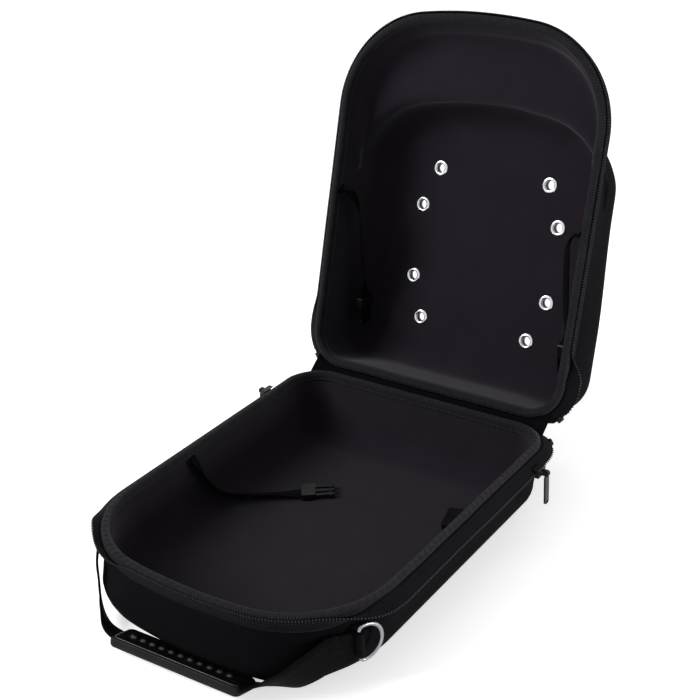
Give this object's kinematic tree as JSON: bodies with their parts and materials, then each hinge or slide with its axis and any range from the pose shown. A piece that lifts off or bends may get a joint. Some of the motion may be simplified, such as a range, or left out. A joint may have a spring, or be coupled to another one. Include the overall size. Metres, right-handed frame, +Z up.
{
  "type": "hat carrying case",
  "caption": "Soft-shell zip case for caps: moulded tray, hinged lid with a crown well, inner straps with side-release buckles, side rings and a front handle.",
  "frame": {"origin": "centre of the tray's flat underside", "axes": "+Z up, X along the lid's hinge, +Y towards the hinge, so the rounded front is at -Y"},
  "size_m": [0.2908, 0.4855, 0.3792],
  "materials": {
    "shell_fabric": "matt woven cover bonded to foam",
    "lining_fabric": "brushed knit",
    "binding": "ribbed tape over a soft edge",
    "zipper_tape": "woven tape",
    "webbing": "ribbed webbing",
    "zipper_coil": "coiled nylon",
    "buckle_plastic": "moulded",
    "grip_rubber": "moulded, satin",
    "eyelet_metal": "nickel plated",
    "ring_metal": "nickel plated wire",
    "slider_metal": "black lacquer"
  },
  "bodies": {
    "tray": {"tray_shell": "shell_fabric", "tray_lining": "lining_fabric", "tray_binding": "binding", "tray_zipper_tape": "zipper_tape", "tray_zipper_coil": "zipper_coil", "tray_coil_stops": "slider_metal", "hinge_seam_tray": "binding", "ring_loop_left": "webbing", "ring_loop_right": "webbing", "tray_strap_tabs": "webbing"},
    "lid": {"lid_shell": "shell_fabric", "lid_lining": "lining_fabric", "lid_binding": "binding", "lid_zipper_tape": "zipper_tape", "lid_zipper_coil": "zipper_coil", "lid_coil_stops": "slider_metal", "hinge_seam_lid": "binding", "eyelets": "eyelet_metal", "eyelet_washers": "eyelet_metal", "lid_strap_tabs": "webbing"},
    "carry_handle": {"handle_webbing_left": "webbing", "handle_webbing_right": "webbing", "handle_grip": "grip_rubber"},
    "side_ring_left": {"d_ring_left": "ring_metal"},
    "side_ring_right": {"d_ring_right": "ring_metal"},
    "zip_slider_left": {"slider_left": "slider_metal"},
    "zip_slider_right": {"slider_right": "slider_metal"},
    "zip_pull_left": {"pull_tab_left": "slider_metal"},
    "zip_pull_right": {"pull_tab_right": "slider_metal"},
    "upper_strap_left": {"lid_strap_left": "webbing", "lid_buckle_left": "buckle_plastic"},
    "upper_strap_right": {"lid_strap_right": "webbing", "lid_buckle_right": "buckle_plastic"},
    "lower_strap_left": {"tray_strap_left": "webbing", "tray_buckle_left": "buckle_plastic"},
    "lower_strap_right": {"tray_strap_right": "webbing", "tray_buckle_right": "buckle_plastic"}
  },
  "joints": [
    {"name": "lid_hinge", "type": "hinge", "parent": "tray", "child": "lid", "pos_m": [0, 0.162, 0.066], "axis": [-1, 0, 0], "range_deg": [-108, 72]},
    {"name": "handle_swing", "type": "hinge", "parent": "tray", "child": "carry_handle", "pos_m": [0, -0.124, 0.048], "axis": [-1, 0, 0], "range_deg": [0, 36]},
    {"name": "ring_swing_left", "type": "hinge", "parent": "tray", "child": "side_ring_left", "pos_m": [-0.11911, -0.11484, 0.036], "axis": [0, 0, 1], "range_deg": [0, 110]},
    {"name": "ring_swing_right", "type": "hinge", "parent": "tray", "child": "side_ring_right", "pos_m": [0.11911, -0.11484, 0.036], "axis": [0, 0, -1], "range_deg": [0, 110]},
    {"name": "slider_travel_left", "type": "slide", "parent": "tray", "child": "zip_slider_left", "axis": [0, -1, 0], "range_m": [0, 0.18]},
    {"name": "slider_travel_right", "type": "slide", "parent": "tray", "child": "zip_slider_right", "axis": [0, -1, 0], "range_m": [0, 0.18]},
    {"name": "pull_swing_left", "type": "hinge", "parent": "zip_slider_left", "child": "zip_pull_left", "pos_m": [-0.1428, 0.112, 0.0559], "axis": [0, 1, 0], "range_deg": [0, 110]},
    {"name": "pull_swing_right", "type": "hinge", "parent": "zip_slider_right", "child": "zip_pull_right", "pos_m": [0.1428, 0.112, 0.0559], "axis": [0, -1, 0], "range_deg": [0, 110]},
    {"name": "upper_strap_swing_left", "type": "hinge", "parent": "lid", "child": "upper_strap_left", "pos_m": [-0.103, 0.22257, 0.21035], "axis": [1, 0, 0], "range_deg": [-40, 3]},
    {"name": "upper_strap_swing_right", "type": "hinge", "parent": "lid", "child": "upper_strap_right", "pos_m": [0.103, 0.22257, 0.21035], "axis": [1, 0, 0], "range_deg": [-40, 3]},
    {"name": "lower_strap_lift_left", "type": "hinge", "parent": "tray", "child": "lower_strap_left", "pos_m": [-0.09929, 0.01779, 0.0062], "axis": [0.6018, -0.7986, 0], "range_deg": [0, 60]},
    {"name": "lower_strap_lift_right", "type": "hinge", "parent": "tray", "child": "lower_strap_right", "pos_m": [0.09551, 0.01524, 0.0062], "axis": [0.9659, 0.2588, 0], "range_deg": [0, 60]}
  ]
}
